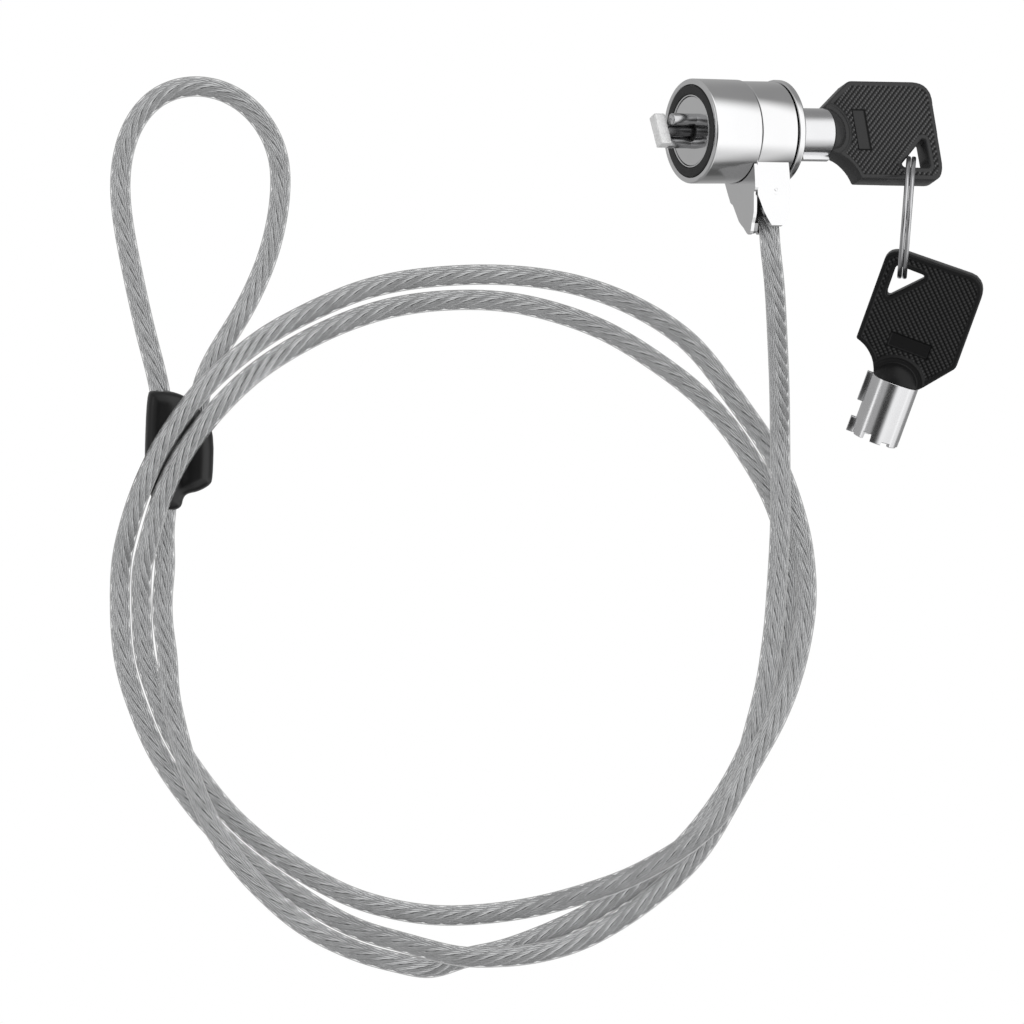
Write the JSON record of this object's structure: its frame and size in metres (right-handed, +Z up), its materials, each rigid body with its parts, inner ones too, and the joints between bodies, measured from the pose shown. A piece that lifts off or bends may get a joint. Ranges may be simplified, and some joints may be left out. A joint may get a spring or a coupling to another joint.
{
  "type": "laptop cable lock",
  "caption": "Tubular-key lock head on a swivel collar with a T-bar nose, a jacketed steel cable with a sleeved eye loop, an inserted key and a spare on a split ring.",
  "frame": {"origin": "centre of the object's box on the table it lies on", "axes": "+Z up from the table, +Y towards the lock head and the eye loop, +X towards the keys; the T-bar points towards -X and up"},
  "size_m": [0.166, 0.1706, 0.0414],
  "materials": {
    "wire_rope": "galvanised stranded wire, fine bright strands",
    "clear_pvc": "clear glossy PVC over the rope",
    "crimp_alloy": "plain pressed",
    "black_sleeve": "smooth moulded black, soft sheen",
    "black_bow": "moulded black with fine diagonal ribs",
    "rubber": "matt black",
    "nickel_chrome": "polished nickel-chrome plate on die-cast zinc",
    "brass": "machined",
    "steel": "bright turned steel"
  },
  "bodies": {
    "cable": {"wire_rope": "wire_rope", "cable_jacket": "clear_pvc", "loop_ferrule": "crimp_alloy", "loop_sleeve": "black_sleeve", "cable_end_ferrule": "crimp_alloy"},
    "yoke": {"swivel_collar": "nickel_chrome", "yoke_pin": "steel"},
    "lock_body": {"front_barrel": "nickel_chrome", "rubber_ring": "rubber", "nose_disc": "nickel_chrome", "guide_pin_upper": "steel", "guide_pin_lower": "steel", "retaining_pin": "steel", "lock_casing": "steel", "rear_ring": "nickel_chrome", "driver_block": "brass", "driver_pin_1": "steel", "driver_pin_2": "steel", "driver_pin_3": "steel", "driver_pin_4": "steel", "driver_pin_5": "steel", "driver_pin_6": "steel", "driver_pin_7": "steel", "driver_spring_1": "steel", "driver_spring_2": "steel", "driver_spring_3": "steel", "driver_spring_4": "steel", "driver_spring_5": "steel", "driver_spring_6": "steel", "driver_spring_7": "steel"},
    "plug": {"rotor": "brass", "t_bar": "nickel_chrome", "spindle_clip": "steel"},
    "key": {"key_tube": "steel", "key_bow": "black_bow"},
    "ring": {"split_ring": "steel"},
    "spare_key": {"spare_key_tube": "steel", "spare_key_bow": "black_bow"},
    "pin_1": {"key_pin_1": "steel"},
    "pin_2": {"key_pin_2": "steel"},
    "pin_3": {"key_pin_3": "steel"},
    "pin_4": {"key_pin_4": "steel"},
    "pin_5": {"key_pin_5": "steel"},
    "pin_6": {"key_pin_6": "steel"},
    "pin_7": {"key_pin_7": "steel"}
  },
  "joints": [
    {"name": "cable_pivot", "type": "hinge", "parent": "cable", "child": "yoke", "pos_m": [0.04133, 0.06278, 0.02925], "axis": [-0.493, -0.309, -0.8133], "range_deg": [-5, 5]},
    {"name": "collar_swivel", "type": "hinge", "parent": "yoke", "child": "lock_body", "pos_m": [0.02721, 0.07531, 0.03304], "axis": [-0.8571, 0.012, 0.515], "continuous": true},
    {"name": "plug_turn", "type": "hinge", "parent": "lock_body", "child": "plug", "pos_m": [0.02721, 0.07531, 0.03304], "axis": [-0.8571, 0.012, 0.515], "range_deg": [-54, 36]},
    {"name": "key_slide", "type": "slide", "parent": "plug", "child": "key", "axis": [0.8571, -0.012, -0.515], "range_m": [0, 0.012]},
    {"name": "ring_slide", "type": "hinge", "parent": "key", "child": "ring", "pos_m": [0.06838, 0.05888, 0.01175], "axis": [0.9969, -0.0785, 0], "range_deg": [-50, 15]},
    {"name": "spare_key_swing", "type": "hinge", "parent": "ring", "child": "spare_key", "pos_m": [0.0675, 0.04772, 0.01175], "axis": [-0.054, -0.1468, 0.9877], "range_deg": [-15, 25]},
    {"name": "key_pin_1_slide", "type": "slide", "parent": "plug", "child": "pin_1", "axis": [0.8571, -0.012, -0.515], "range_m": [0, 0.0012]},
    {"name": "key_pin_2_slide", "type": "slide", "parent": "plug", "child": "pin_2", "axis": [0.8571, -0.012, -0.515], "range_m": [0, 0.000402]},
    {"name": "key_pin_3_slide", "type": "slide", "parent": "plug", "child": "pin_3", "axis": [0.8571, -0.012, -0.515], "range_m": [0, 0.000802]},
    {"name": "key_pin_4_slide", "type": "slide", "parent": "plug", "child": "pin_4", "axis": [0.8571, -0.012, -0.515], "range_m": [0, 0.0014]},
    {"name": "key_pin_5_slide", "type": "slide", "parent": "plug", "child": "pin_5", "axis": [0.8571, -0.012, -0.515], "range_m": [0, 0.000202]},
    {"name": "key_pin_6_slide", "type": "slide", "parent": "plug", "child": "pin_6", "axis": [0.8571, -0.012, -0.515], "range_m": [0, 0.001]},
    {"name": "key_pin_7_slide", "type": "slide", "parent": "plug", "child": "pin_7", "axis": [0.8571, -0.012, -0.515], "range_m": [0, 0.000602]}
  ],
  "couplings": [
    {"joint": "key_pin_1_slide", "follows": "key_slide", "ratio": 0.1},
    {"joint": "key_pin_2_slide", "follows": "key_slide", "ratio": 0.033333},
    {"joint": "key_pin_3_slide", "follows": "key_slide", "ratio": 0.066667},
    {"joint": "key_pin_4_slide", "follows": "key_slide", "ratio": 0.11667},
    {"joint": "key_pin_5_slide", "follows": "key_slide", "ratio": 0.016667},
    {"joint": "key_pin_6_slide", "follows": "key_slide", "ratio": 0.083333},
    {"joint": "key_pin_7_slide", "follows": "key_slide", "ratio": 0.05}
  ]
}
